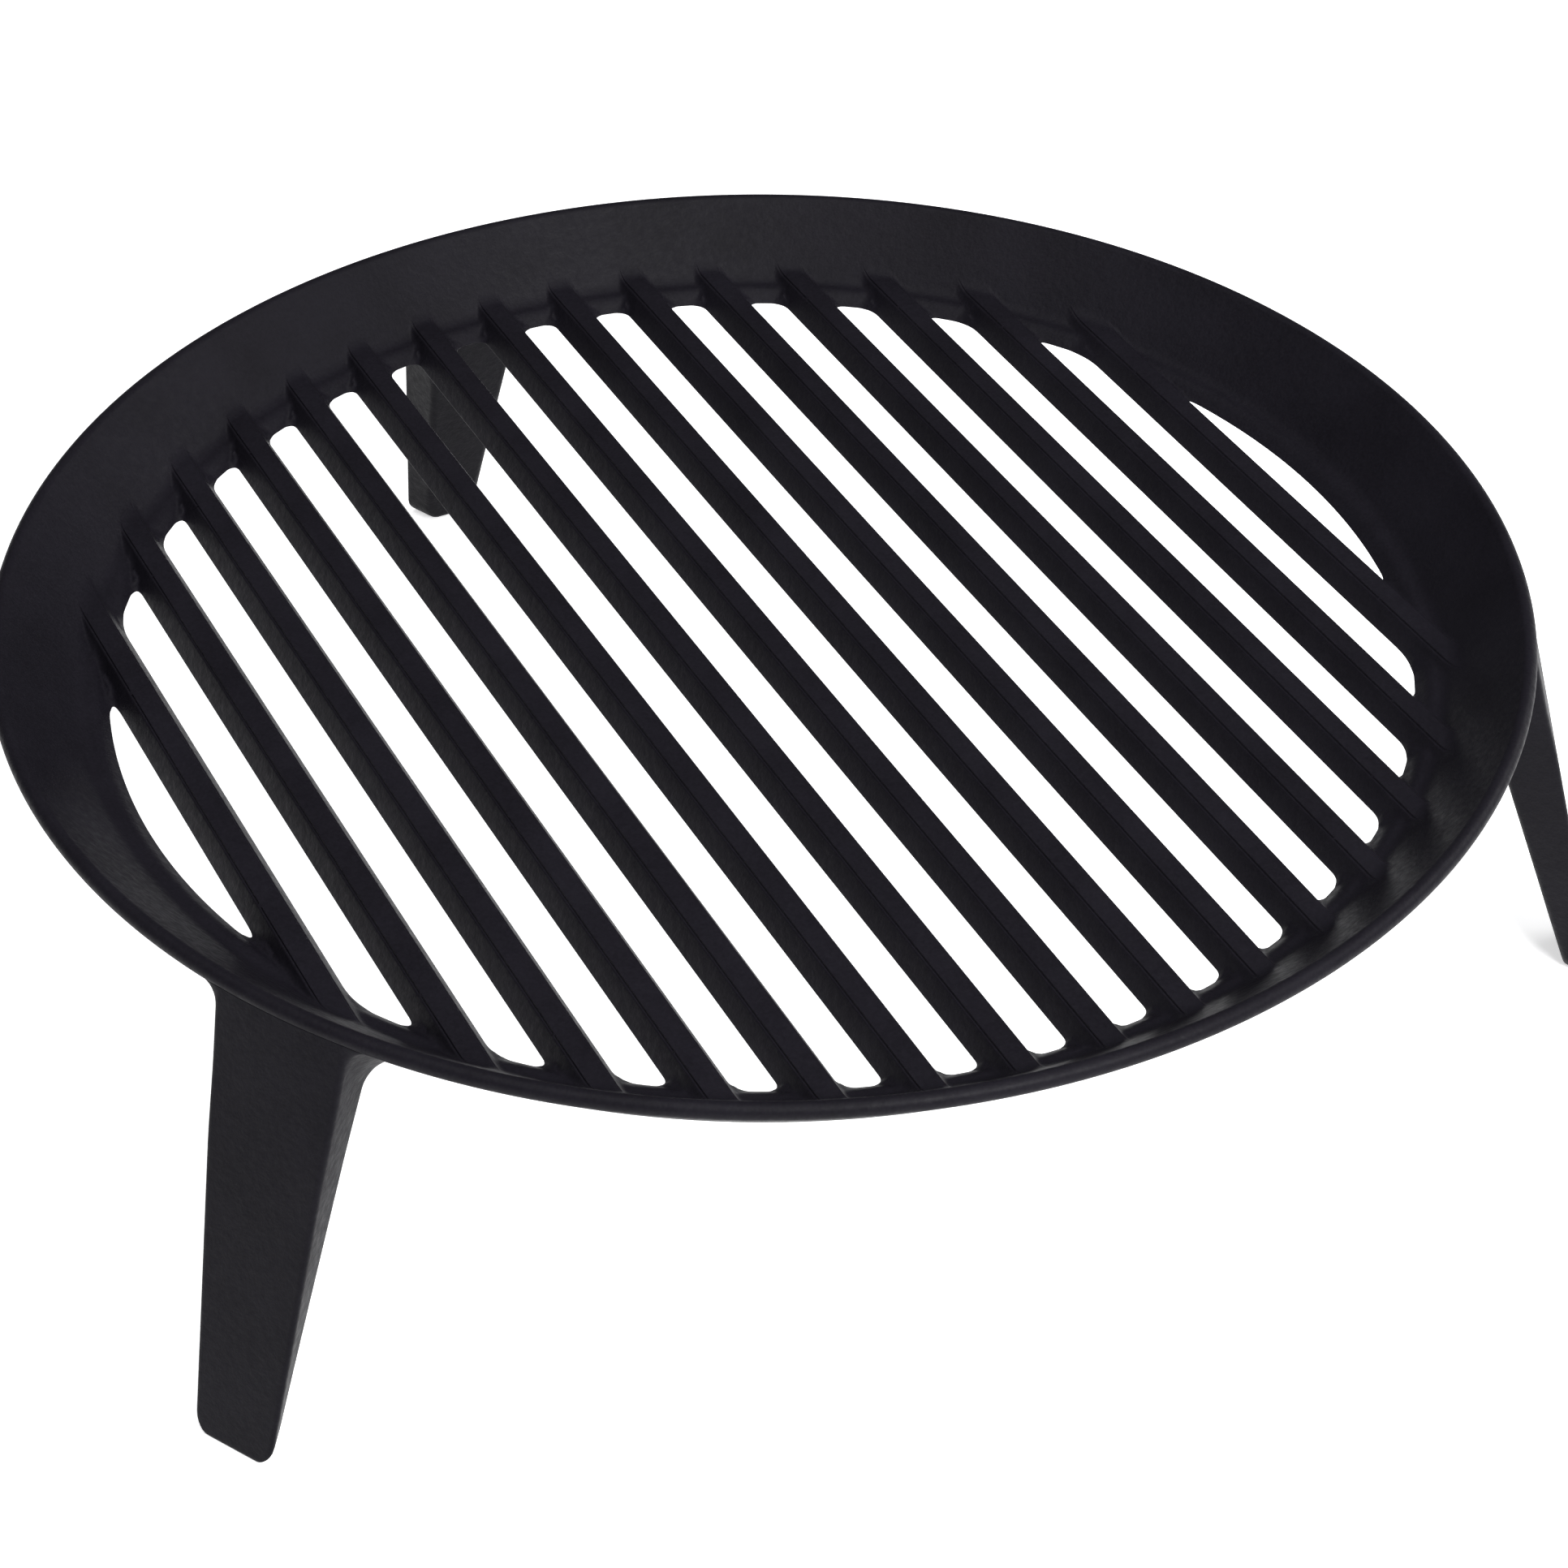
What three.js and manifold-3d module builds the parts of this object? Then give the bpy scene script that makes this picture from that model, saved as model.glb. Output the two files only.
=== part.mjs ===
// A round cast-iron fire grate on three legs: a dished rim, fifteen parallel bars and three tapered, splayed legs.
// Millimetres, +Z up. The origin is on the floor, under the middle of the grate's bounding box. The bars run along X,
// one leg points along -X. Every member is its own closed solid, with a small gap where it meets its neighbour.
// The rim carries the roots of the bars, with the ridges that run up onto its slope.
import * as THREE from 'three';
import { mergeVertices } from 'three/addons/utils/BufferGeometryUtils.js';
import Module from 'manifold-3d';

// Overall
const RIM_RADIUS = 180; // outside of the lip
const BAR_TOP_HEIGHT = 93; // floor to the flat tops of the bars
const PARTING_GAP = 0.3; // between two members of the casting
const ROUND_STEPS = 96; // facets round the rim

// Bars
const BAR_COUNT = 15;
const BAR_PITCH = 20;
const BAR_TOP_WIDTH = 5.4;
const BAR_FOOT_WIDTH = 11.4; // the sides lean out on the way down, so that the pattern draws from the sand
const BAR_DEPTH = 5.5;
const PARTING_RADIUS = 148.5; // a bar ends here, and its root in the rim begins

// Rim: a flat ring round the slots, a slope of 45 degrees and a rounded lip
const RING_DEPTH = 3; // thickness of the flat ring
const RING_INNER_RADIUS = 152.8; // at the underside
const RING_TOP_INNER_RADIUS = 157.3; // at the top of the slot ends
const LIP_RADIUS = 2;
const LIP_CENTRE_HEIGHT = 12.3; // above the bar tops
const SLOPE_ANGLE = Math.PI / 4;
const TOP_FILLET = 4; // ring to slope, upper side
const UNDER_FILLET = 8; // ring to slope, underside

// Legs
const LEG_ANGLES = { leg_back: 180, leg_left: -60, leg_right: 60 };
const LEG_TOP_REACH = 180.1; // rim axis to the outer face, level with the lip's centre, where the two are flush
const SOLE_REACH = 208.9; // rim axis to the outer face, at the floor
const LEG_TOP_WIDTH = 34;
const SOLE_WIDTH = 17.8;
const LEG_TOP_DEPTH = 17;
const SOLE_DEPTH = 8.6;
const SIDE_DRAFT = 3; // the inner face is narrower than the outer one by this on each side, or a little more
const SOLE_DRAFT = 4.2;
const SOLE_ROUND = 5; // rounding of the sole's corners, seen from outside
const ROOT_FILLET = 9; // where the leg runs into the rim
const EDGE_ROUND = 1.4; // rounding of the leg's long edges

// Colour and finish of each family of members: black iron, with the bars a little darker
const IRON = { rim: 0x201f26, bar: 0x17171b, leg: 0x1d1c23 };

const wasm = await Module();
wasm.setup();

// A closed three.js geometry as a solid that can be joined and cut.
function solid(geometry) {
  const bare = geometry.clone();
  bare.deleteAttribute('normal');
  bare.deleteAttribute('uv');
  const merged = mergeVertices(bare, 1e-4);
  return new wasm.Manifold(new wasm.Mesh({
    numProp: 3,
    vertProperties: new Float32Array(merged.attributes.position.array),
    triVerts: new Uint32Array(merged.index.array),
  }));
}

// The solid back as a three.js geometry.
function geometryOf(body) {
  const mesh = body.getMesh();
  const geometry = new THREE.BufferGeometry();
  geometry.setAttribute('position', new THREE.BufferAttribute(new Float32Array(mesh.vertProperties), 3));
  geometry.setIndex(new THREE.BufferAttribute(new Uint32Array(mesh.triVerts), 1));
  geometry.computeVertexNormals();
  return geometry;
}

function named(name, geometry, colour) {
  const material = new THREE.MeshStandardMaterial({ color: colour, roughness: 0.55, metalness: 0.6 });
  const mesh = new THREE.Mesh(geometry, material);
  mesh.name = name;
  return mesh;
}

// Points on an arc in the (radius, height) plane, from one angle to another.
function arc(centreR, centreZ, radius, from, to, steps) {
  const points = [];
  for (let i = 0; i <= steps; i += 1) {
    const a = from + ((to - from) * i) / steps;
    points.push(new THREE.Vector2(centreR + radius * Math.cos(a), centreZ + radius * Math.sin(a)));
  }
  return points;
}

// The rim's section stands in the (radius, height) plane, with heights counted from the bar tops. The slope's two
// faces touch the round lip, so the lip's radius sets the rim's thickness.
const lipR = RIM_RADIUS - LIP_RADIUS;
const ringTop = RING_DEPTH - BAR_DEPTH;
const slopeOutR = Math.sin(SLOPE_ANGLE);
const slopeOutZ = Math.cos(SLOPE_ANGLE);

// Upper face of the rim, from the slot end to the top of the slope, moved out of the metal by a clearance.
function upperFace(clearance) {
  const offset = LIP_RADIUS + clearance;
  const topR = lipR - offset * slopeOutR;
  const topZ = LIP_CENTRE_HEIGHT + offset * slopeOutZ;
  const ringZ = ringTop + clearance;
  const cornerR = topR - (topZ - ringZ) / Math.tan(SLOPE_ANGLE);
  const radius = TOP_FILLET - clearance;
  const centreR = cornerR - radius * Math.tan(SLOPE_ANGLE / 2);
  const fillet = arc(centreR, ringZ + radius, radius, -Math.PI / 2, -Math.PI / 2 + SLOPE_ANGLE, 4);
  const wall = new THREE.Vector2(RING_TOP_INNER_RADIUS - RING_INNER_RADIUS, RING_DEPTH).normalize();
  const outwards = new THREE.Vector2(-wall.y, wall.x);
  const foot = new THREE.Vector2(RING_INNER_RADIUS, -BAR_DEPTH)
    .addScaledVector(outwards, clearance)
    .addScaledVector(wall, -2 * clearance);
  const edge = foot.clone().addScaledVector(wall, (ringZ - foot.y) / wall.y);
  return [foot, edge, ...fillet];
}

// Underside of the rim, from the bottom of the slope to the slot end.
function lowerFace(clearance) {
  const offset = LIP_RADIUS + clearance;
  const topR = lipR + offset * slopeOutR;
  const topZ = LIP_CENTRE_HEIGHT - offset * slopeOutZ;
  const underZ = -BAR_DEPTH - clearance;
  const cornerR = topR - (topZ - underZ) / Math.tan(SLOPE_ANGLE);
  const radius = UNDER_FILLET + clearance;
  const centreR = cornerR - radius * Math.tan(SLOPE_ANGLE / 2);
  return arc(centreR, underZ + radius, radius, -Math.PI / 2 + SLOPE_ANGLE, -Math.PI / 2, 4);
}

// A clockwise section turned about the Z axis. The lathe wants it anticlockwise and closed on itself.
function revolve(points) {
  const section = [...points, points[0].clone()].reverse();
  const geometry = new THREE.LatheGeometry(section, ROUND_STEPS);
  geometry.rotateX(Math.PI / 2);
  return geometry;
}

function lip(clearance) {
  const from = Math.PI / 2 + SLOPE_ANGLE;
  return arc(lipR, LIP_CENTRE_HEIGHT, LIP_RADIUS + clearance, from, from - Math.PI, 8);
}

// Everything behind the rim's upper face and the given depth of metal: what a bar's root must not reach.
function behindUpperFace(depth) {
  const outside = RIM_RADIUS + 30;
  return solid(revolve([
    new THREE.Vector2(RING_INNER_RADIUS + depth, -BAR_DEPTH - 5),
    ...upperFace(-depth),
    lip(-depth)[0],
    new THREE.Vector2(lipR, LIP_CENTRE_HEIGHT + 10),
    new THREE.Vector2(outside, LIP_CENTRE_HEIGHT + 10),
    new THREE.Vector2(outside, -BAR_DEPTH - 5),
  ]));
}

// The space that a leg must keep out of: everything above the rim's underside.
function aboveLowerFace() {
  const lipEdge = RIM_RADIUS + PARTING_GAP;
  const height = LIP_CENTRE_HEIGHT + 30;
  return solid(revolve([
    new THREE.Vector2(RING_INNER_RADIUS - 30, height),
    new THREE.Vector2(lipEdge, height),
    new THREE.Vector2(lipEdge, LIP_CENTRE_HEIGHT),
    ...arc(lipR, LIP_CENTRE_HEIGHT, LIP_RADIUS + PARTING_GAP, 0, -SLOPE_ANGLE, 3).slice(1),
    ...lowerFace(PARTING_GAP),
    new THREE.Vector2(RING_INNER_RADIUS - 30, -BAR_DEPTH - PARTING_GAP),
  ]));
}

// A bar is a drafted section drawn along X, here as long as the rim is wide at that place.
function barLength(y) {
  const section = new THREE.Shape([
    new THREE.Vector2(-BAR_FOOT_WIDTH / 2, -BAR_DEPTH),
    new THREE.Vector2(BAR_FOOT_WIDTH / 2, -BAR_DEPTH),
    new THREE.Vector2(BAR_TOP_WIDTH / 2, 0),
    new THREE.Vector2(-BAR_TOP_WIDTH / 2, 0),
  ]);
  const reach = Math.sqrt(RIM_RADIUS ** 2 - y ** 2);
  const geometry = new THREE.ExtrudeGeometry(section, { depth: 2 * reach, bevelEnabled: false, steps: 1 });
  const alongX = new THREE.Matrix4().makeBasis(
    new THREE.Vector3(0, 1, 0),
    new THREE.Vector3(0, 0, 1),
    new THREE.Vector3(1, 0, 0),
  );
  geometry.applyMatrix4(alongX);
  geometry.translate(-reach, y, 0);
  return solid(geometry);
}

function disc(radius) {
  const geometry = new THREE.CylinderGeometry(radius, radius, 40, ROUND_STEPS);
  geometry.rotateX(Math.PI / 2);
  return solid(geometry);
}

// The rim with the root of every bar: the bar crosses the slot end, and its ridge carries on over the flat ring until
// the slope swallows it.
function dishedRim(barPlaces) {
  const sunk = 0.8; // how far a root reaches into the metal that it grows from
  const notRoots = disc(PARTING_RADIUS + PARTING_GAP / 2).add(behindUpperFace(sunk));
  const ring = solid(revolve([...upperFace(0), ...lip(0), ...lowerFace(0)]));
  return barPlaces.reduce((rim, y) => rim.add(barLength(y).subtract(notRoots)), ring);
}

// A closed skin through a stack of rings with the same number of points each.
function loft(rings) {
  const count = rings[0].length;
  const positions = rings.flat().flatMap((p) => [p.x, p.y, p.z]);
  const index = [];
  for (let r = 0; r < rings.length - 1; r += 1) {
    for (let i = 0; i < count; i += 1) {
      const a = r * count + i;
      const b = r * count + ((i + 1) % count);
      index.push(a, b, b + count, a, b + count, a + count);
    }
  }
  const last = (rings.length - 1) * count;
  for (let i = 1; i < count - 1; i += 1) {
    index.push(0, i + 1, i);
    index.push(last, last + i, last + i + 1);
  }
  const geometry = new THREE.BufferGeometry();
  geometry.setAttribute('position', new THREE.BufferAttribute(new Float32Array(positions), 3));
  geometry.setIndex(index);
  return geometry;
}

// How far a round of the given radius has pulled a face back, at a distance from its tangent point.
const roundOff = (radius, distance) => {
  const reach = THREE.MathUtils.clamp(distance, 0, radius);
  return radius - Math.sqrt(radius * radius - reach * reach);
};

// A leg's section at one height is a four-sided outline with rounded corners, wide outside and narrower inside.
function legRing(height) {
  const top = LIP_CENTRE_HEIGHT;
  const down = (top - height) / (top + BAR_TOP_HEIGHT);
  const reach = THREE.MathUtils.lerp(LEG_TOP_REACH, SOLE_REACH, down);
  const aboveSole = height + BAR_TOP_HEIGHT;
  const soleRound = roundOff(SOLE_ROUND, SOLE_ROUND - aboveSole);
  // The fillet at the root starts below the rim and spreads the leg sideways and inwards.
  const flare = roundOff(ROOT_FILLET, Math.min(height - (top - 2.2 * ROOT_FILLET), 0.9 * ROOT_FILLET));
  const outer = THREE.MathUtils.lerp(LEG_TOP_WIDTH, SOLE_WIDTH, down) / 2 + 0.4 * flare - soleRound;
  const inner = outer - THREE.MathUtils.lerp(SIDE_DRAFT, SOLE_DRAFT, down) + 0.4 * flare + 0.4 * soleRound;
  const depth = THREE.MathUtils.lerp(LEG_TOP_DEPTH, SOLE_DEPTH, down) + flare;
  const corners = [
    new THREE.Vector2(reach, -outer),
    new THREE.Vector2(reach, outer),
    new THREE.Vector2(reach - depth, inner),
    new THREE.Vector2(reach - depth, -inner),
  ];
  return corners.flatMap((corner, i) => {
    const before = corners[(i + 3) % 4].clone().sub(corner).setLength(EDGE_ROUND);
    const after = corners[(i + 1) % 4].clone().sub(corner).setLength(EDGE_ROUND);
    const start = corner.clone().add(before);
    const end = corner.clone().add(after);
    const middle = start.clone().add(end).multiplyScalar(0.25).addScaledVector(corner, 0.5);
    return [start, middle, end].map((p) => new THREE.Vector3(p.x, p.y, height));
  });
}

function leg(angle, keepOut) {
  const heights = [];
  for (let i = 0; i <= 5; i += 1) heights.push(-BAR_TOP_HEIGHT + SOLE_ROUND * (1 - Math.cos((i * Math.PI) / 10)));
  const straightTop = LIP_CENTRE_HEIGHT - 2.2 * ROOT_FILLET;
  for (let i = 1; i <= 5; i += 1) heights.push(THREE.MathUtils.lerp(SOLE_ROUND - BAR_TOP_HEIGHT, straightTop, i / 5));
  for (let i = 1; i <= 6; i += 1) heights.push(THREE.MathUtils.lerp(straightTop, LIP_CENTRE_HEIGHT, i / 6));
  const geometry = loft(heights.map(legRing));
  geometry.rotateZ(THREE.MathUtils.degToRad(angle));
  return solid(geometry).subtract(keepOut);
}

// The casting stands on its soles. Its bounding box is longest towards the back leg, so the rim's axis sits a little
// forward of the origin.
const casting = new THREE.Group();
casting.position.set((SOLE_REACH - RIM_RADIUS) / 2, 0, BAR_TOP_HEIGHT);

const barPlaces = [];
for (let i = 0; i < BAR_COUNT; i += 1) barPlaces.push((i - (BAR_COUNT - 1) / 2) * BAR_PITCH);

casting.add(named('dished_rim', geometryOf(dishedRim(barPlaces)), IRON.rim));

const insideParting = disc(PARTING_RADIUS - PARTING_GAP / 2);
barPlaces.forEach((y, i) => {
  const name = `bar_${String(i + 1).padStart(2, '0')}`;
  casting.add(named(name, geometryOf(barLength(y).intersect(insideParting)), IRON.bar));
});

const legKeepOut = aboveLowerFace();
for (const [name, angle] of Object.entries(LEG_ANGLES)) {
  casting.add(named(name, geometryOf(leg(angle, legKeepOut)), IRON.leg));
}

const grate = new THREE.Group();
grate.add(casting);

export default grate;
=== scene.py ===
import math

import bmesh
import bpy
import numpy as np
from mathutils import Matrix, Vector
from mathutils.geometry import delaunay_2d_cdt


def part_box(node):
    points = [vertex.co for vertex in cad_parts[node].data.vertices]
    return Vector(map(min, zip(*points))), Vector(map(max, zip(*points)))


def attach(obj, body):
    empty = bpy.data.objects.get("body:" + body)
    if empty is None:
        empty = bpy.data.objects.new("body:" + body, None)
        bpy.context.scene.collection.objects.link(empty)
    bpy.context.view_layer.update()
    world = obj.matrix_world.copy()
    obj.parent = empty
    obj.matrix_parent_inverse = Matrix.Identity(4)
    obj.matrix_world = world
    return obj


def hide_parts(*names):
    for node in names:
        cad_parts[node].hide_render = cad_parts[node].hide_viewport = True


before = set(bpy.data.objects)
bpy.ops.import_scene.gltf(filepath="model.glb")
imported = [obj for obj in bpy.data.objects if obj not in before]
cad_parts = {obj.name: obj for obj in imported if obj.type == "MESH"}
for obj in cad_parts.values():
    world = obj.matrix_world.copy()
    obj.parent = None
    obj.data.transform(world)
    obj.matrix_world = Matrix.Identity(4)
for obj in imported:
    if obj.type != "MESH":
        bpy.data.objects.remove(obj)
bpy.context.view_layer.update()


# ---------------------------------------------------------------- Dished rim
# The outside of a fire grate that is cast in one pour of grey iron: a flat ring round the slots, a slope
# of 45 degrees that keeps the fuel in, and a rounded lip. The bars' roots and the ridges that they send up
# the slope are part of it. It is fixed to nothing: bars, rim and legs come out of one sand mould.

MM = 0.001
bar_nodes = sorted(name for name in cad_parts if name.startswith("bar_"))
middle_low, middle_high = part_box(bar_nodes[len(bar_nodes) // 2])
rim_low, rim_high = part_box("dished_rim")

# Places and sizes in millimetres, counted from the rim's axis and the plane of the bar tops
zero = np.array([(rim_low.x + rim_high.x) / 2, (rim_low.y + rim_high.y) / 2, middle_high.z])
rim_radius = (rim_high.y - rim_low.y) / 2 / MM
rim_top = (rim_high.z - zero[2]) / MM
bar_depth = (middle_high.z - middle_low.z) / MM
bar_places = [((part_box(n)[0].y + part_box(n)[1].y) / 2 - zero[1]) / MM for n in bar_nodes]
bar_pitch = bar_places[1] - bar_places[0]
parting_radius = (middle_high.x - zero[0]) / MM

lip_round = 2.0
lip_radius = rim_radius - lip_round
lip_height = rim_top - lip_round
lip_reach = lip_round * math.sqrt(0.5)
slope_start = lip_radius - lip_height - 2 * lip_reach
under_start = lip_radius - lip_height + 2 * lip_reach
ring_height = -2.5
ring_edge = 153.8
slot_end_draft = 0.857

bar_top_half = 2.7
bar_foot_half = (middle_high.y - middle_low.y) / 2 / MM
draft = bar_depth / (bar_foot_half - bar_top_half)
crest_half = 2.42
crest_slope = 4.2
step_height = -0.5
slot_edge_height = 0.35 - bar_depth
bar_edge_half = bar_top_half - slot_edge_height / draft

# Widths over which neighbouring faces run into each other
crest_round = 0.15
step_round = 0.35
step_fillet = 0.12
slot_end_round = 1.2
slope_fillet = 1.7
under_fillet = 2.8
root_fillet_heights = [-5.0, -3.0]
root_fillets = [5.5, 2.0]


def meet_high(a, b, width):
    """The higher of two surfaces, with the hollow between them filled over a width."""
    overlap = np.maximum(width - np.abs(a - b), 0)
    return np.maximum(a, b) + overlap**2 / (4 * width)


def meet_low(a, b, width):
    """The lower of two surfaces, with the edge between them rounded over a width."""
    return -meet_high(-a, -b, width)


def bar_skin(across):
    """Height of a bar's skin at a distance from its middle: flat top, fine step, drafted side."""
    across = np.abs(across)
    crest = meet_low((crest_half - across) * crest_slope, 0, crest_round)
    side = meet_low((bar_top_half - across) * draft, step_height, step_round)
    return meet_high(crest, side, step_fillet)


def ring_skin(reach):
    """Height of the rim's upper skin at a distance from its axis, as if there were no bars."""
    inwards = np.where(reach < ring_edge, draft, slot_end_draft)
    slot_end = (reach - ring_edge) * inwards - bar_depth
    flat = meet_low(slot_end, ring_height, slot_end_round)
    return meet_high(flat, reach - slope_start, slope_fillet)


def under_skin(reach):
    """Height of the rim's underside at a distance from its axis."""
    return meet_high(-bar_depth, reach - under_start, under_fillet)


def nearest_bar(y):
    """The middle of the bar nearest to a place across the bars."""
    outermost = len(bar_nodes) // 2
    return np.clip(np.round(y / bar_pitch), -outermost, outermost) * bar_pitch


def upper_skin(x, y):
    """Height of the casting's upper skin over a point of its plan. Deep in a slot the fillet is larger."""
    bar = bar_skin(y - nearest_bar(y))
    ring = ring_skin(np.hypot(x, y))
    fillet = np.interp(np.maximum(bar, ring), root_fillet_heights, root_fillets)
    return meet_high(bar, ring, fillet)


def slope_of(skin, x, y):
    """Gradient of a skin, by a difference over a fiftieth of a millimetre."""
    h = 0.01
    return (skin(x + h, y) - skin(x - h, y)) / (2 * h), (skin(x, y + h) - skin(x, y - h)) / (2 * h)


def skin_normals(skin, x, y, side=1):
    """Normals of a skin at many places. Side is 1 where the skin faces up and -1 where it faces down."""
    gx, gy = slope_of(skin, x, y)
    normals = np.stack([-gx, -gy, np.ones_like(gx)], 1) * side
    return normals / np.linalg.norm(normals, axis=1, keepdims=True)


# Rows of points across a bar, closer together where its shape turns
half_rows = [1.3, 2.0, 2.28, 2.38, 2.46, 2.54, 2.63, 2.76, 2.92, 3.15, 3.6, 4.3, 5.0]
bar_rows = [-r for r in reversed(half_rows)] + [0.0] + half_rows
section_rows = [-bar_edge_half, *bar_rows, bar_edge_half]

# The lower edge of a slot: steps out of the metal and heights, from the drafted wall to the underside
edge_steps = [(0.10, 0.20 - bar_depth), (0.07, 0.06 - bar_depth)]
edge_tilts = (0.0, 0.8, 1.0)

# A slot's outline is found along lines of sight from inside it, and its points are then spaced evenly
outline_spacing = 0.6
sight_lines = 1500
sight_step = 0.1
sight_reach = 70


def on_circle(y, side):
    """The point of the parting circle at a place across the bars, on the side of +X or -X."""
    return side * math.sqrt(parting_radius**2 - y**2)


def slot_outline(start, end, centre):
    """The lower outline of a slot's end from one bar to the next, evenly spaced, seen from a centre."""
    first = math.atan2(start[1] - centre[1], start[0] - centre[0])
    last = math.atan2(end[1] - centre[1], end[0] - centre[0])
    if last < first:
        last += 2 * math.pi
    angles = np.linspace(first, last, sight_lines)[1:-1]
    steps = np.arange(0, sight_reach, sight_step)
    x = centre[0] + np.outer(np.cos(angles), steps)
    y = centre[1] + np.outer(np.sin(angles), steps)
    above = upper_skin(x, y) - slot_edge_height
    crossing = np.argmax(above > 0, axis=1)
    rows = np.arange(len(angles))
    low, high = above[rows, crossing - 1], above[rows, crossing]
    reach = steps[crossing - 1] + sight_step * low / (low - high)
    x = centre[0] + reach * np.cos(angles)
    y = centre[1] + reach * np.sin(angles)
    x = np.concatenate([[start[0]], x, [end[0]]])
    y = np.concatenate([[start[1]], y, [end[1]]])
    run = np.concatenate([[0], np.cumsum(np.hypot(np.diff(x), np.diff(y)))])
    even = np.linspace(0, run[-1], max(8, round(run[-1] / outline_spacing)))
    return np.stack([np.interp(even, run, x), np.interp(even, run, y)], 1)


def plan_triangles(points, outline_edges, keep):
    """Triangles over a plan that have the outlines among their edges; keep says which centres to keep."""
    _, _, triangles, sources, _, _ = delaunay_2d_cdt(
        [Vector(p) for p in points], outline_edges, [], 0, 1e-6
    )
    source = np.array([s[0] for s in sources])
    corners = source[np.array(triangles)]
    centres = np.array(points)[corners].mean(axis=1)
    return corners[keep(centres[:, 0], centres[:, 1])].tolist()


# Grain and mottling share the colour. The skin is a little smoother or rougher from place to place.
grain_share = 0.5
smoother, rougher = 0.06, 0.08


def cast_iron(name, dark, light, roughness, gloss):
    """Black iron as cast in sand: a fine grain, soft mottling, and a satin skin that varies a little."""
    material = bpy.data.materials.new(name)
    material.use_nodes = True
    nodes, links = material.node_tree.nodes, material.node_tree.links
    shader = nodes["Principled BSDF"]
    shader.inputs["Metallic"].default_value = 0.0
    shader.inputs["Specular IOR Level"].default_value = gloss
    place = nodes.new("ShaderNodeTexCoord")

    def noise(scale, detail):
        """A noise of a number of grains to the metre, through the whole of the iron."""
        node = nodes.new("ShaderNodeTexNoise")
        node.inputs["Scale"].default_value = scale
        node.inputs["Detail"].default_value = detail
        links.new(place.outputs["Object"], node.inputs["Vector"])
        return node.outputs["Fac"]

    def spread(value, low, high):
        """The middle of a noise's range, spread between two values."""
        node = nodes.new("ShaderNodeMapRange")
        node.inputs["From Min"].default_value = 0.3
        node.inputs["From Max"].default_value = 0.7
        node.inputs["To Min"].default_value = low
        node.inputs["To Max"].default_value = high
        links.new(value, node.inputs["Value"])
        return node.outputs["Result"]

    grain = noise(scale=1500, detail=3)
    pits = noise(scale=520, detail=4)
    mottling = noise(scale=45, detail=5)
    colour = nodes.new("ShaderNodeMix")
    colour.data_type = "RGBA"
    colour.inputs[6].default_value = (*dark, 1)
    colour.inputs[7].default_value = (*light, 1)
    both = nodes.new("ShaderNodeMath")
    both.operation = "MULTIPLY_ADD"
    both.inputs[1].default_value = grain_share
    links.new(spread(grain, 0, 1), both.inputs[0])
    links.new(spread(mottling, 0, 1 - grain_share), both.inputs[2])
    links.new(both.outputs["Value"], colour.inputs["Factor"])
    links.new(colour.outputs[2], shader.inputs["Base Color"])
    links.new(spread(pits, roughness - smoother, roughness + rougher), shader.inputs["Roughness"])
    coarse = nodes.new("ShaderNodeBump")
    coarse.inputs["Strength"].default_value = 0.35
    coarse.inputs["Distance"].default_value = 0.0004
    links.new(pits, coarse.inputs["Height"])
    fine = nodes.new("ShaderNodeBump")
    fine.inputs["Strength"].default_value = 0.45
    fine.inputs["Distance"].default_value = 0.00012
    links.new(grain, fine.inputs["Height"])
    links.new(coarse.outputs["Normal"], fine.inputs["Normal"])
    links.new(fine.outputs["Normal"], shader.inputs["Normal"])
    return material


def cast_piece(node, material, points, normals, faces, joined_faces):
    """A closed piece of the casting, in place of a CAD node. Its joined faces lie inside the iron."""
    mesh = bpy.data.meshes.new("cast_" + node)
    mesh.from_pydata((np.array(points) * MM + zero).tolist(), [], faces + joined_faces)
    mesh.polygons.foreach_set("use_smooth", [True] * len(faces) + [False] * len(joined_faces))
    skin = bmesh.new()
    skin.from_mesh(mesh)
    bmesh.ops.recalc_face_normals(skin, faces=skin.faces)
    skin.to_mesh(mesh)
    skin.free()
    corners = np.zeros(len(mesh.loops), dtype=np.int32)
    mesh.loops.foreach_get("vertex_index", corners)
    corner_normals = np.array(normals, dtype=float)[corners]
    skin_corners = sum(len(face) for face in faces)
    corner_normals[skin_corners:] = 0
    mesh.normals_split_custom_set(corner_normals.tolist())
    piece = bpy.data.objects.new("cast_" + node, mesh)
    bpy.context.scene.collection.objects.link(piece)
    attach(piece, "root")
    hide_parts(node)
    mesh.materials.append(material)


def parting_section(y, side):
    """Where a bar is parted from its root: the points and normals of its outline, in four runs."""
    top = [(on_circle(y + d, side), y + d, float(bar_skin(d))) for d in section_rows]
    top_normals = skin_normals(lambda _, d: bar_skin(d), np.zeros(len(section_rows)), np.array(section_rows))
    under = [(x, v, -bar_depth) for x, v, _ in top]
    edges = []
    for hand in (-1, 1):
        places = [y + hand * (bar_edge_half + out) for out, _ in edge_steps]
        heights = [height for _, height in edge_steps]
        edges.append([(on_circle(p, side), p, h) for p, h in zip(places, heights)])
    return top, top_normals, under, edges


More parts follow.
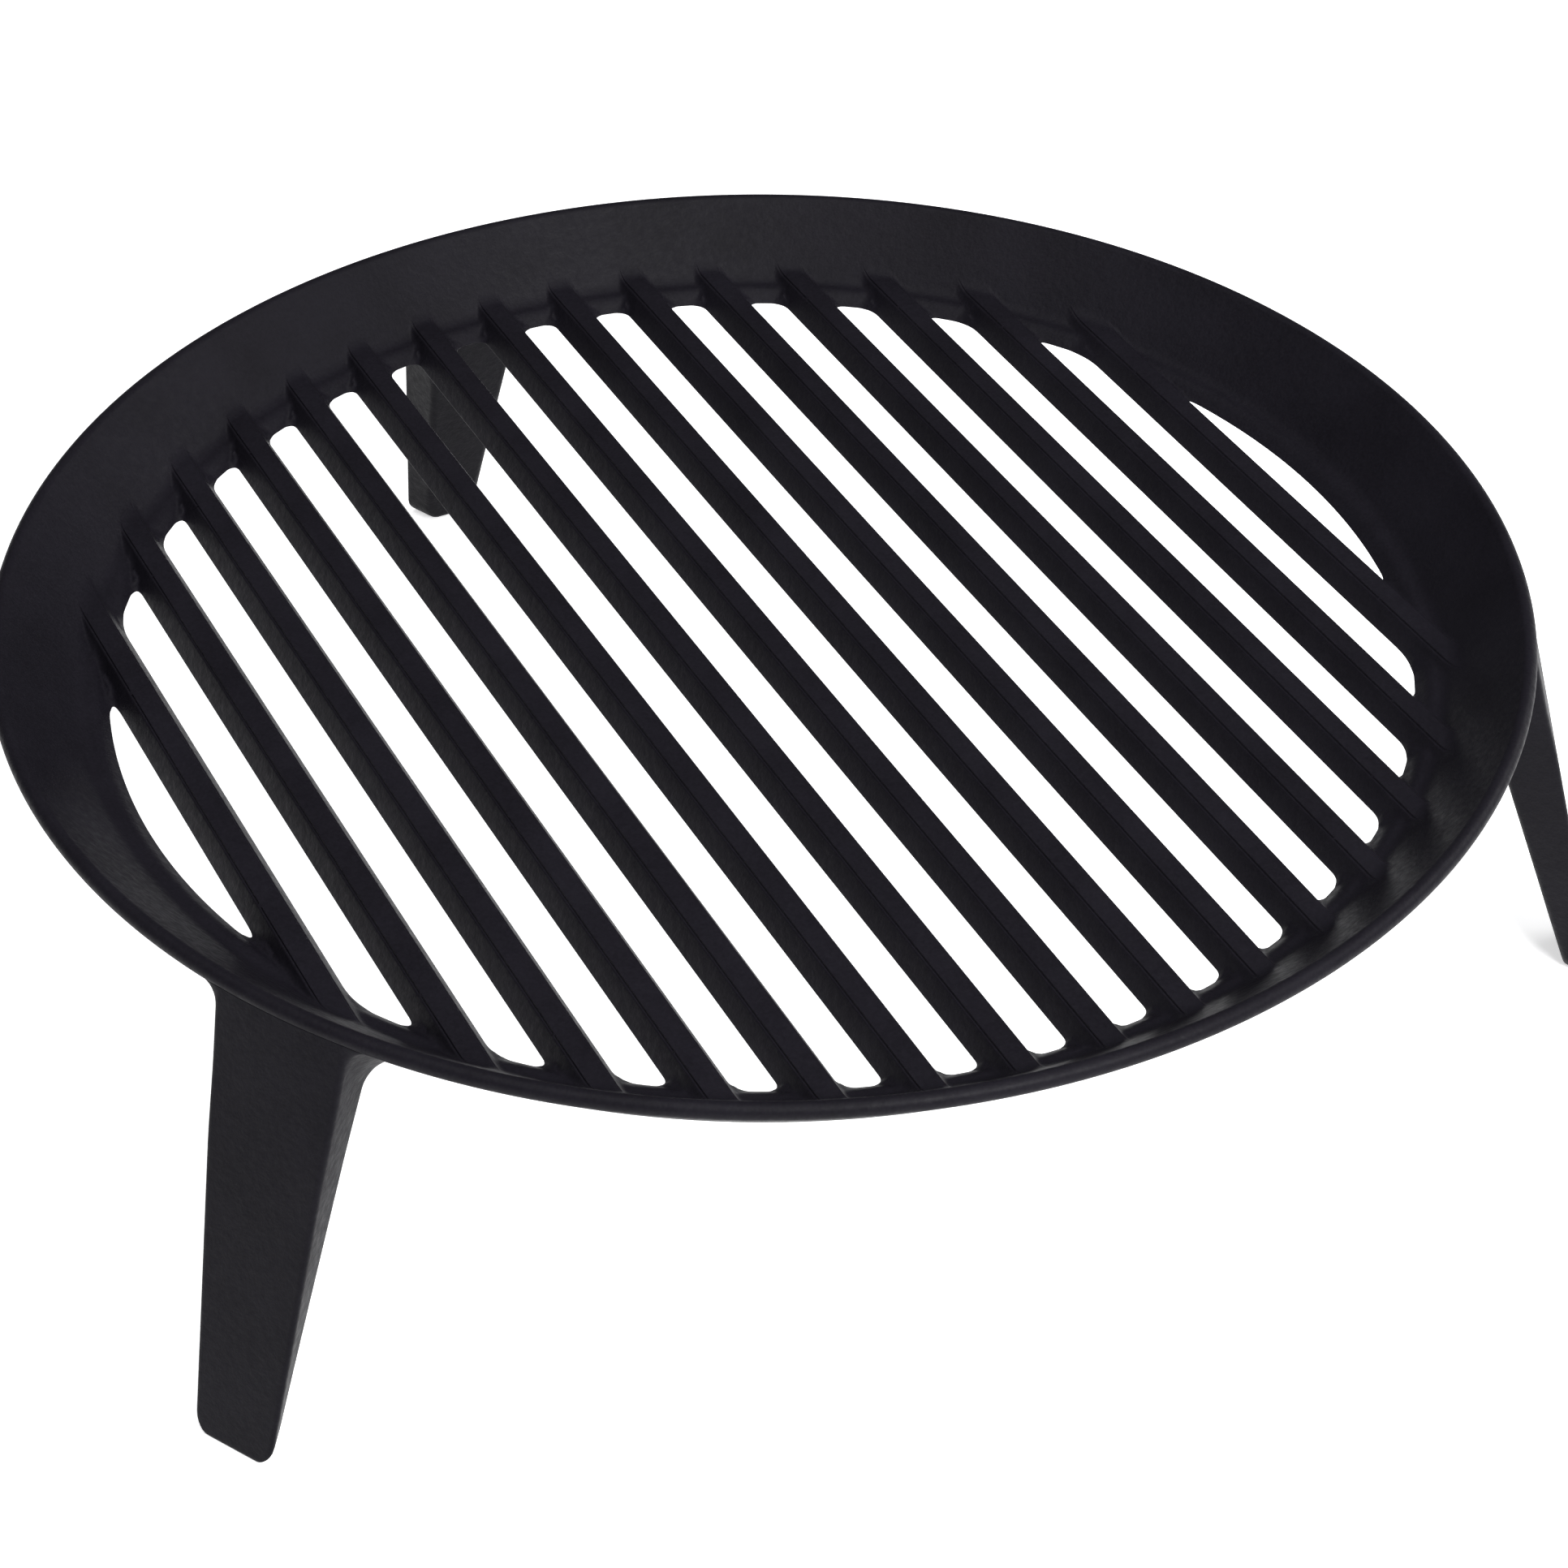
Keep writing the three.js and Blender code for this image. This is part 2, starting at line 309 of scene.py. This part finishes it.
# The plan of the rim: round its inside, a slot's outline and a bar's root by turns; round its outside, the
# foot of the lip. Each root carries rows of points along the bar, and the rest lies on rings about the axis.
# How far into a slot the centre of its lines of sight is set
half_pitch = bar_pitch / 2
centre_inset = 0.2
end_centre_inset = 1.5
slots = []
roots = []
last_bar = len(bar_places) - 1
for side in (1, -1):
    order = range(len(bar_places)) if side > 0 else range(last_bar, -1, -1)
    for i in order:
        y = bar_places[i]
        before = y - side * bar_edge_half
        if i == (0 if side > 0 else last_bar):
            start = (on_circle(before, -side), before)
            centre = (0.0, before - side * end_centre_inset)
        else:
            start_y = y - side * (bar_pitch - bar_edge_half)
            start = (on_circle(start_y, side), start_y)
            centre_x = (start[0] + on_circle(before, side)) / 2 + side * centre_inset
            centre = (centre_x, y - side * half_pitch)
        outline = slot_outline(start, (on_circle(before, side), before), centre)
        slots.append(outline)
        roots.append((y, side))

points = []
normals = []
inner_loop = []
for outline, (y, side) in zip(slots, roots):
    heights = upper_skin(outline[:, 0], outline[:, 1])
    first = len(points)
    points += [(x, v, z) for (x, v), z in zip(outline, heights)]
    normals += skin_normals(upper_skin, outline[:, 0], outline[:, 1]).tolist()
    top, top_normals, _, _ = parting_section(y, side)
    if side < 0:
        top, top_normals = top[::-1], top_normals[::-1]
    inner_loop += list(range(first, len(points)))
    inner_loop += list(range(len(points), len(points) + len(top) - 2))
    points += top[1:-1]
    normals += top_normals[1:-1].tolist()

# Half a degree at a time round the rim
turn = np.radians(np.arange(0, 360, 0.5))


def level_circle(reach, height):
    """Points round the rim's axis at a reach and a height."""
    return [(reach * math.cos(a), reach * math.sin(a), height) for a in turn]


lip_foot = lip_radius - lip_reach
outer_loop = list(range(len(points), len(points) + len(turn)))
points += level_circle(lip_foot, lip_height + lip_reach)
normals += [(-lip_reach * math.cos(a) / 2, -lip_reach * math.sin(a) / 2, lip_reach / 2) for a in turn]

# Rows of points run along each root until it has died away on the slope. An outermost bar ends before the
# usual start of its rows, so those start nearer the middle.
root_end = 165.8
root_band = 7.4
fillet_rows = [-5.6, 5.6, -6.3, 6.3, -7.0, 7.0]
row_margin = 8
row_spacing = 0.8
rows_end = 170
short_bar = 140
short_bar_start = 20
parting_clearance = 0.35
ring_clearance = 0.3
edge_clearance = 0.4
x_grid = []
y_grid = []
for y, side in roots:
    if abs(y) < short_bar:
        row_start = math.sqrt(parting_radius**2 - (abs(y) + row_margin) ** 2)
    else:
        row_start = short_bar_start
    along = np.arange(row_start, rows_end, row_spacing)
    for d in [*bar_rows, *fillet_rows]:
        x_grid += (side * along).tolist()
        y_grid += [y + d] * len(along)
x_grid = np.array(x_grid)
y_grid = np.array(y_grid)
reach = np.hypot(x_grid, y_grid)
kept = (reach > parting_radius + parting_clearance) & (reach < root_end)
row_points = np.stack([x_grid[kept], y_grid[kept]], 1)

# Rings of points fill the plan between the roots and beyond them.
ring_steps = [*np.arange(149.2, 164.5, 0.7), 165.6, 167.5, 170.0, 173.0]
around, out = np.meshgrid(turn, ring_steps)
x_grid = (out * np.cos(around)).ravel()
y_grid = (out * np.sin(around)).ravel()
between_roots = np.abs(y_grid - nearest_bar(y_grid)) > root_band
kept = between_roots | (np.hypot(x_grid, y_grid) > root_end + ring_clearance)
ring_points = np.stack([x_grid[kept], y_grid[kept]], 1)

inside_points = np.concatenate([row_points, ring_points])
clear = upper_skin(inside_points[:, 0], inside_points[:, 1]) > slot_edge_height + edge_clearance
inside_points = inside_points[clear]
heights = upper_skin(inside_points[:, 0], inside_points[:, 1])
plan = [(p[0], p[1]) for p in points] + inside_points.tolist()
points += [(p[0], p[1], z) for p, z in zip(inside_points, heights)]
normals += skin_normals(upper_skin, inside_points[:, 0], inside_points[:, 1]).tolist()


def ring_edges(loop):
    """The edges of a closed loop of points."""
    return list(zip(loop, loop[1:] + loop[:1]))


def over_iron(x, y):
    """Whether places of the plan are over the upper skin's iron."""
    reach = np.hypot(x, y)
    return (upper_skin(x, y) > slot_edge_height) & (reach > parting_radius) & (reach < lip_foot)


faces = plan_triangles(plan, ring_edges(inner_loop) + ring_edges(outer_loop), over_iron)

# The lower edge of each slot rolls under, and the underside is spread over its own plan.
edge_rows = []
under_points = []
under_loop = []
root_rows = []
first = 0
for outline, (y, side) in zip(slots, roots):
    gx, gy = slope_of(upper_skin, outline[:, 0], outline[:, 1])
    downhill = -np.stack([gx, gy], 1) / np.hypot(gx, gy)[:, None]
    rows = [list(range(first, first + len(outline)))]
    for (outwards, height), tilt in zip([*edge_steps, (0.0, -bar_depth)], edge_tilts):
        moved = outline + downhill * outwards
        for end in (0, -1):
            moved[end, 0] = on_circle(moved[end, 1], math.copysign(1, moved[end, 0]))
        if height > -bar_depth:
            rows.append(list(range(len(points), len(points) + len(moved))))
            points += [(x, v, height) for x, v in moved]
            normals += [(n[0] * (1 - tilt / 2), n[1] * (1 - tilt / 2), -tilt) for n in downhill]
        else:
            rows.append(list(range(len(under_points), len(under_points) + len(moved))))
            under_points += [(x, v, height) for x, v in moved]
    edge_rows.append(rows)
    _, _, under, _ = parting_section(y, side)
    inner = (under if side > 0 else under[::-1])[1:-1]
    top_first = first + len(outline)
    under_first = len(under_points)
    top_row = list(range(top_first, top_first + len(inner)))
    under_row = list(range(under_first, under_first + len(inner)))
    root_rows.append((top_row, under_row))
    under_points += inner
    under_loop += rows[-1] + under_row
    first = top_first + len(inner)

under_outer = list(range(len(under_points), len(under_points) + len(turn)))
lip_edge = lip_radius + lip_reach
under_points += level_circle(lip_edge, lip_height - lip_reach)
under_steps = [150, 154, 157, *np.arange(159.4, 166.5, 0.9), 169, 172.5, 176]
under_clearance = 0.6
around, out = np.meshgrid(turn[::3], under_steps)
x_grid = (out * np.cos(around)).ravel()
y_grid = (out * np.sin(around)).ravel()
clear = upper_skin(x_grid, y_grid) > slot_edge_height + under_clearance
x_grid = x_grid[clear]
y_grid = y_grid[clear]
under_points += [(x, y, float(under_skin(math.hypot(x, y)))) for x, y in zip(x_grid, y_grid)]


def over_underside(x, y):
    """Whether places of the plan are over the underside's iron."""
    reach = np.hypot(x, y)
    return (upper_skin(x, y) > slot_edge_height) & (reach > parting_radius) & (reach < lip_edge)


under_faces = plan_triangles(
    [(p[0], p[1]) for p in under_points], ring_edges(under_loop) + ring_edges(under_outer), over_underside
)
shift = len(points)
under_x = np.array(under_points)[:, 0]
under_y = np.array(under_points)[:, 1]
points += under_points
normals += skin_normals(lambda x, y: under_skin(np.hypot(x, y)), under_x, under_y, -1).tolist()
faces += [[shift + i for i in face] for face in under_faces]
edge_rows = [rows[:-1] + [[shift + i for i in rows[-1]]] for rows in edge_rows]
root_rows = [(top, [shift + i for i in under]) for top, under in root_rows]


def strip(one, other):
    """Four-sided faces between two rows of points."""
    return [[one[i], one[i + 1], other[i + 1], other[i]] for i in range(len(one) - 1)]


def parting_faces(top, under, start_edge, end_edge):
    """The end of a bar or a root: its upper row to its lower one, with the rolled edges at both sides."""
    first = [top[0], top[1], under[1], under[0], *reversed(start_edge)]
    last = [top[-2], top[-1], *end_edge, under[-1], under[-2]]
    return [first, last, *strip(top[1:-1], under[1:-1])]


for rows in edge_rows:
    for upper, lower in zip(rows, rows[1:]):
        faces += strip(upper, lower)

joined_faces = []
for i, (top, under) in enumerate(root_rows):
    before, after = edge_rows[i], edge_rows[(i + 1) % len(edge_rows)]
    joined_faces += parting_faces(
        [before[0][-1], *top, after[0][0]],
        [before[-1][-1], *under, after[-1][0]],
        [row[-1] for row in before[1:-1]],
        [row[0] for row in after[1:-1]],
    )

# The lip is round for half a turn, from the top of the slope to the underside.
lip_steps = 12
upper = outer_loop
for step in range(1, lip_steps + 1):
    lean = math.radians(135 - 180 / lip_steps * step)
    if step == lip_steps:
        lower = [shift + i for i in under_outer]
    else:
        lower = list(range(len(points), len(points) + len(turn)))
        reach = lip_radius + lip_round * math.cos(lean)
        height = lip_height + lip_round * math.sin(lean)
        points += level_circle(reach, height)
        normals += [
            (math.cos(lean) * math.cos(a), math.cos(lean) * math.sin(a), math.sin(lean)) for a in turn
        ]
    faces += strip(upper + upper[:1], lower + lower[:1])
    upper = lower

iron_dark = (0.0042, 0.0037, 0.0054)
iron_light = (0.0086, 0.0078, 0.0110)
iron_roughness = 0.48
iron_gloss = 0.07
rim_iron = cast_iron("rim_iron", iron_dark, iron_light, iron_roughness, iron_gloss)
cast_piece("dished_rim", rim_iron, points, normals, faces, joined_faces)


# ---------------------------------------------------------------- Bars
# Fifteen parallel bars, cast with the rim. Their sides are drafted so that the pattern leaves the sand, which
# makes the slots wider on top than underneath. A fine step runs along both edges of each flat top.

bar_iron = cast_iron("bar_iron", iron_dark, iron_light, iron_roughness, iron_gloss)
rolled_edge = [(0, 0.6, -0.8), (0, -0.6, -0.8)]
for node, y in zip(bar_nodes, bar_places):
    points = []
    normals = []
    ends = []
    for side in (-1, 1):
        top, top_normals, under, edges = parting_section(y, side)
        first = len(points)
        count = len(top)
        points += top + edges[1] + under[::-1] + edges[0][::-1]
        normals += top_normals.tolist() + [(0, 1, 0), rolled_edge[0]]
        normals += [(0, 0, -1)] * count + [rolled_edge[1], (0, -1, 0)]
        ends.append(list(range(first, len(points))))
    faces = strip(ends[0] + ends[0][:1], ends[1] + ends[1][:1])
    joined_faces = []
    for ring in ends:
        joined_faces += parting_faces(
            ring[:count],
            ring[count + 2:2 * count + 2][::-1],
            ring[:2 * count + 1:-1],
            ring[count:count + 2],
        )
    cast_piece(node, bar_iron, points, normals, faces, joined_faces)


# ---------------------------------------------------------------- Legs
# Three tapered legs, cast with the rim at equal thirds of its round. Each splays outwards, with its outer
# face flush with the lip, and runs into the rim's underside in a fillet. The soles are flat.

floor_height = -zero[2] / MM
leg_low, leg_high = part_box("leg_back")
sole_reach = (zero[0] - leg_low.x) / MM
lean = math.atan((sole_reach - rim_radius) / (lip_height - floor_height))
leg_top = lip_height - lip_round * math.sin(lean)
under_lip = 0.05
top_reach = lip_radius + lip_round * math.cos(lean) - under_lip
fillet_side = 8.1
top_half = 17.5
sole_half = (leg_high.y - leg_low.y) / 2 / MM - fillet_side
top_depth, sole_depth = 17.0, 7.6
top_taper, sole_taper = 3.0, 4.2
edge_round = 1.7
sole_round, sole_edge = 5.0, 1.2
gap_fillet = 2

# The fillet under the rim is smallest beside the lip and grows towards the axis
lip_fillet = 3.8
fillet_growth = 4.2
fillet_run = 8

# Heights between which the leg's outer face bends from straight to the lip's round
straight_top = -24.0
bend_start = -26
bend_run = 24


def rim_gap(reach, height):
    """Distance from a place below the rim to its skin, negative inside the iron."""
    flat = -bar_depth - height
    slope = (reach - height - under_start) * math.sqrt(0.5)
    lip = np.hypot(reach - lip_radius, height - lip_height) - lip_round
    return np.where(reach + height > lip_radius + lip_height, lip, meet_high(flat, slope, gap_fillet))


def round_off(radius, distance):
    """How far a round has pulled a face back, at a distance from its tangent point."""
    distance = np.clip(distance, 0, radius)
    return radius - np.sqrt(radius**2 - distance**2)


def leg_outline(heights):
    """The leg's outline at many heights: for each one, places outwards and across, round the section."""
    down = (leg_top - heights) / (leg_top - floor_height)
    reach = top_reach + (sole_reach - top_reach) * down
    half = top_half + (sole_half - top_half) * down
    inner = half - top_taper - (sole_taper - top_taper) * down
    back = reach - top_depth - (sole_depth - top_depth) * down
    corners = ((reach, -half), (reach, half), (back, inner), (back, -inner))
    corners = [np.stack(corner, 1) for corner in corners]
    outline = []
    for i, corner in enumerate(corners):
        towards = [corners[i - 1] - corner, corners[(i + 1) % 4] - corner]
        lengths = [np.linalg.norm(t, axis=1, keepdims=True) for t in towards]
        before, after = [t / length * edge_round for t, length in zip(towards, lengths)]
        for t in np.linspace(0, 1, 7):
            outline.append(corner + before * (1 - t) ** 2 + after * t**2)
        flat_run = lengths[1] - 2 * edge_round
        for t in np.linspace(0, 1, 8)[1:-1]:
            outline.append(corner + after + (towards[1] / lengths[1]) * flat_run * t)
    outline = np.stack(outline, 1)
    along = np.roll(outline, -1, 1) - np.roll(outline, 1, 1)
    along /= np.linalg.norm(along, axis=2, keepdims=True)
    out, across = outline[..., 0], outline[..., 1]
    face_out, face_across = along[..., 1], -along[..., 0]

    # The sole's corners and edges are rounded.
    above_sole = heights - floor_height
    across = across * (1 - round_off(sole_round, sole_round - above_sole) / half)[:, None]
    out = out - face_out * round_off(sole_edge, sole_edge - above_sole)[:, None]

    # The root spreads into the rim in a fillet, small beside the lip and larger further in.
    gap = np.maximum(rim_gap(out, heights[:, None]), 0)
    radius = lip_fillet + fillet_growth * np.clip((reach[:, None] - out) / fillet_run, 0, 1)
    flare = round_off(radius, radius - gap)
    out = out + flare * np.minimum(face_out, 0)
    across = across + flare * face_across

    # Near the top the whole section bends round with the lip.
    bend = np.clip((heights - bend_start) / bend_run, 0, 1)
    bend = (bend**2 * (3 - 2 * bend))[:, None]
    return out * (1 - bend) + np.sqrt(out**2 - across**2) * bend, across


# Each line down the leg is followed up from the sole to the height at which it meets the rim.
table = np.linspace(floor_height, lip_height + 1, 1600)
table_out, table_across = leg_outline(table)
table_gap = rim_gap(np.hypot(table_out, table_across), table[:, None])
inside = (table_gap < 0.01) & (table[:, None] > straight_top - 1)
root_height = table[np.argmax(inside, axis=0)]
count = table_out.shape[1]

sole_levels = (0, 0.04, 0.15, 0.35, 0.7, 1.2, 1.8, 2.6, 3.6, 5.0)
levels = [np.full(count, floor_height + h) for h in sole_levels]
for t in np.linspace(0, 1, 10)[1:]:
    levels.append(np.full(count, (floor_height + sole_round) * (1 - t) + straight_top * t))
crowding = 1.6
for t in np.linspace(0, 1, 26)[1:]:
    levels.append(straight_top + (root_height - straight_top) * (1 - (1 - t) ** crowding))
rings = []
for level in levels:
    out = [np.interp(h, table, table_out[:, i]) for i, h in enumerate(level)]
    across = [np.interp(h, table, table_across[:, i]) for i, h in enumerate(level)]
    rings.append(np.stack([out, across, level], 1))

# The last ring is sunk into the rim, sideways where it ends on the lip.
at_lip = rings[-1][:, 0] + rings[-1][:, 2] > lip_radius + lip_height - 2
sunk = np.where(at_lip[:, None], [-0.8, 0, 0.3], [0, 0, 0.8])
rings.append(rings[-1] + sunk)
skin = np.concatenate(rings)

faces = []
for r in range(len(rings) - 1):
    one = list(range(r * count, (r + 1) * count))
    other = [i + count for i in one]
    faces += strip(one + one[:1], other + other[:1])
faces.append(list(range(count))[::-1])
top_face = list(range(len(skin) - count, len(skin)))
skin_faces = np.array(faces[:-1])
one_diagonal = skin[skin_faces[:, 2]] - skin[skin_faces[:, 0]]
other_diagonal = skin[skin_faces[:, 3]] - skin[skin_faces[:, 1]]
facing = np.cross(one_diagonal, other_diagonal)
leg_normals = np.zeros_like(skin)
for corner in range(4):
    np.add.at(leg_normals, skin_faces[:, corner], facing)
sole_pull = (0, 0, -20)
leg_normals[:count] += sole_pull
leg_normals /= np.linalg.norm(leg_normals, axis=1, keepdims=True)

# The legs' iron is painted darker than the rim's and bars' iron. This is painted shade, because the legs are
# the same iron from the same pour.
leg_shaded_dark = (0.0036, 0.0033, 0.0048)
leg_shaded_light = (0.0074, 0.0068, 0.0096)
leg_iron = cast_iron("leg_iron", leg_shaded_dark, leg_shaded_light, roughness=0.46, gloss=0.05)
for node in sorted(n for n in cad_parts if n.startswith("leg_")):
    low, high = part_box(node)
    middle = (np.array(low) + np.array(high)) / 2 - zero
    third = round(math.degrees(math.atan2(middle[1], middle[0])) / 60) * math.pi / 3
    c, s = math.cos(third), math.sin(third)
    turned = np.array([[c, s, 0], [-s, c, 0], [0, 0, 1]])
    cast_piece(node, leg_iron, skin @ turned, leg_normals @ turned, faces, [top_face])


# ---------------------------------------------------------------- Floor, light and camera
# A pale studio floor that gives off a little light of its own, two soft boxes beside the grate, a broad one
# overhead, and a camera with a long lens that looks down at the grate.

floor_half = 6
floor_corners = [(-floor_half, -floor_half, 0), (floor_half, -floor_half, 0)]
floor_corners += [(floor_half, floor_half, 0), (-floor_half, floor_half, 0)]
floor_mesh = bpy.data.meshes.new("studio_floor")
floor_mesh.from_pydata(floor_corners, [], [(0, 1, 2, 3)])
floor = bpy.data.objects.new("studio_floor", floor_mesh)
bpy.context.scene.collection.objects.link(floor)
floor_paint = bpy.data.materials.new("floor_paint")
floor_paint.use_nodes = True
paint = floor_paint.node_tree.nodes["Principled BSDF"]
paint.inputs["Base Color"].default_value = (0.93, 0.93, 0.93, 1)
paint.inputs["Roughness"].default_value = 0.9
paint.inputs["Specular IOR Level"].default_value = 0.1
paint.inputs["Emission Color"].default_value = (1, 1, 1, 1)
paint.inputs["Emission Strength"].default_value = 0.62
floor_mesh.materials.append(floor_paint)

world = bpy.data.worlds.new("studio")
world.use_nodes = True
world.node_tree.nodes["Background"].inputs["Color"].default_value = (0.93, 0.93, 1.0, 1)
world.node_tree.nodes["Background"].inputs["Strength"].default_value = 0.14
bpy.context.scene.world = world


def soft_box(name, azimuth, elevation, distance, size, power):
    """A square soft light that faces the grate from a direction, in degrees, and a distance."""
    light = bpy.data.lights.new(name, "AREA")
    light.size = size
    light.energy = power
    lamp = bpy.data.objects.new(name, light)
    a, e = math.radians(azimuth), math.radians(elevation)
    back = Vector((math.cos(a) * math.cos(e), math.sin(a) * math.cos(e), math.sin(e)))
    lamp.location = Vector(zero) + back * distance
    lamp.rotation_euler = back.to_track_quat("Z", "Y").to_euler()
    bpy.context.scene.collection.objects.link(lamp)


soft_box("side_box", azimuth=8, elevation=42, distance=1.4, size=0.6, power=24)
soft_box("edge_box", azimuth=85, elevation=28, distance=1.4, size=0.7, power=7)
soft_box("top_box", azimuth=-40, elevation=80, distance=2.2, size=2.0, power=36)

camera_data = bpy.data.cameras.new("camera")
camera_data.lens = 83.96
camera_data.shift_x = 0.0197
camera = bpy.data.objects.new("camera", camera_data)
camera_from_rim = np.array([0.62370, -0.31590, 0.51606])
camera_angles = (51.081, -0.063, 63.356)
camera.location = zero + camera_from_rim
camera.rotation_euler = [math.radians(a) for a in camera_angles]
bpy.context.scene.collection.objects.link(camera)
bpy.context.scene.camera = camera
bpy.context.scene.view_settings.view_transform = "Standard"
